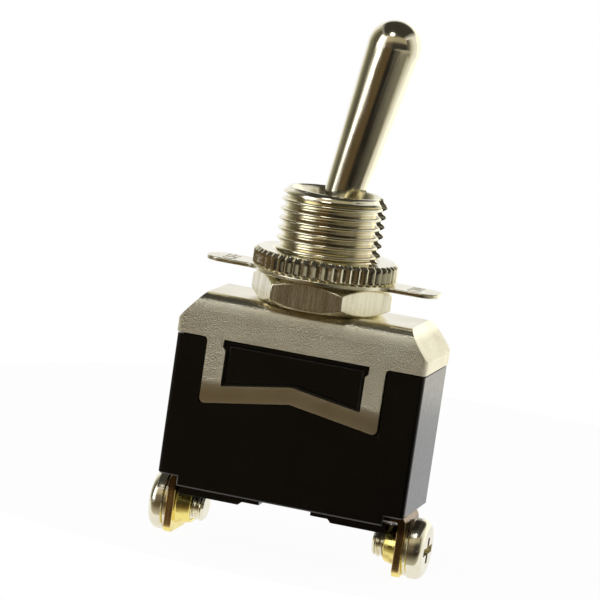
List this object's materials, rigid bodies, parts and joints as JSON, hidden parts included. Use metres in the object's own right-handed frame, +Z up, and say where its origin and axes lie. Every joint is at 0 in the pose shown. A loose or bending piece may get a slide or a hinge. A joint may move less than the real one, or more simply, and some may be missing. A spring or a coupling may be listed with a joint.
{
  "type": "panel toggle switch",
  "caption": "Bat-lever panel toggle switch with threaded bushing, knurled and hexagon nuts, on-off plate, sheet cover, moulded base and screw terminals.",
  "frame": {"origin": "On the bushing's axis, level with the upper face of the knurled ring nut, where the free thread starts.", "axes": "+Z runs up the bushing towards the lever's tip. +X is the long direction of the body, towards the end that the lever leans to. -Y is the side that faces the viewer in the picture."},
  "size_m": [0.0326, 0.0166, 0.0624],
  "materials": {
    "nickel": "warm bright nickel plating",
    "guide_steel": "plain cut steel sheet",
    "liner_fibre": "reddish brown insulating fibre",
    "black_moulding": "black moulded thermoset",
    "terminal_brass": "plain rolled brass strip",
    "contact_silver": "dull silver contact alloy",
    "plunger_moulding": "cream insulating moulding",
    "spring_steel": "drawn spring wire",
    "screw_nickel": "nickel plated steel"
  },
  "bodies": {
    "housing": {"bushing": "nickel", "knurled_ring_nut": "nickel", "on_off_plate": "nickel", "hex_nut": "nickel", "cover": "nickel", "lever_guide": "guide_steel", "insulating_liner": "liner_fibre", "base": "black_moulding", "left_terminal": "terminal_brass", "right_terminal": "terminal_brass", "contact_saddle": "terminal_brass", "saddle_rivet": "terminal_brass", "fixed_contact": "contact_silver"},
    "lever": {"lever": "nickel", "lever_spring": "spring_steel"},
    "plunger": {"plunger": "plunger_moulding"},
    "rocker": {"rocker_contact": "terminal_brass", "moving_contact": "contact_silver"},
    "left_washer": {"left_screw_washer": "screw_nickel"},
    "left_screw": {"left_terminal_screw": "screw_nickel"},
    "right_washer": {"right_screw_washer": "screw_nickel"},
    "right_screw": {"right_terminal_screw": "screw_nickel"}
  },
  "joints": [
    {"name": "lever_tilt", "type": "hinge", "parent": "housing", "child": "lever", "pos_m": [0, 0, 0.0022], "axis": [0, 1, 0], "range_deg": [-21.4, 0]},
    {"name": "rocker_tilt", "type": "hinge", "parent": "housing", "child": "rocker", "pos_m": [0, 0, -0.02035], "axis": [0, 1, 0], "range_deg": [0, 13]},
    {"name": "plunger_slide", "type": "slide", "parent": "lever", "child": "plunger", "axis": [0.1857, 0, 0.9826], "range_m": [0, 0.001], "stiffness_N_per_m": 300, "springref_m": -0.004, "deforming": ["lever_spring"]},
    {"name": "left_screw_travel", "type": "slide", "parent": "housing", "child": "left_washer", "axis": [-1, 0, 0], "range_m": [0, 0.002]},
    {"name": "left_screw_turn", "type": "hinge", "parent": "left_washer", "child": "left_screw", "pos_m": [-0.0145, 0, -0.03145], "axis": [-1, 0, 0], "range_deg": [0, 1200.1]},
    {"name": "right_screw_travel", "type": "slide", "parent": "housing", "child": "right_washer", "axis": [1, 0, 0], "range_m": [0, 0.002]},
    {"name": "right_screw_turn", "type": "hinge", "parent": "right_washer", "child": "right_screw", "pos_m": [0.0145, 0, -0.03145], "axis": [1, 0, 0], "range_deg": [0, 1200.1]}
  ],
  "couplings": [
    {"joint": "rocker_tilt", "follows": "lever_tilt", "ratio": -0.607},
    {"joint": "left_screw_turn", "follows": "left_screw_travel", "rad_per_m": 10472},
    {"joint": "right_screw_turn", "follows": "right_screw_travel", "rad_per_m": 10472}
  ]
}
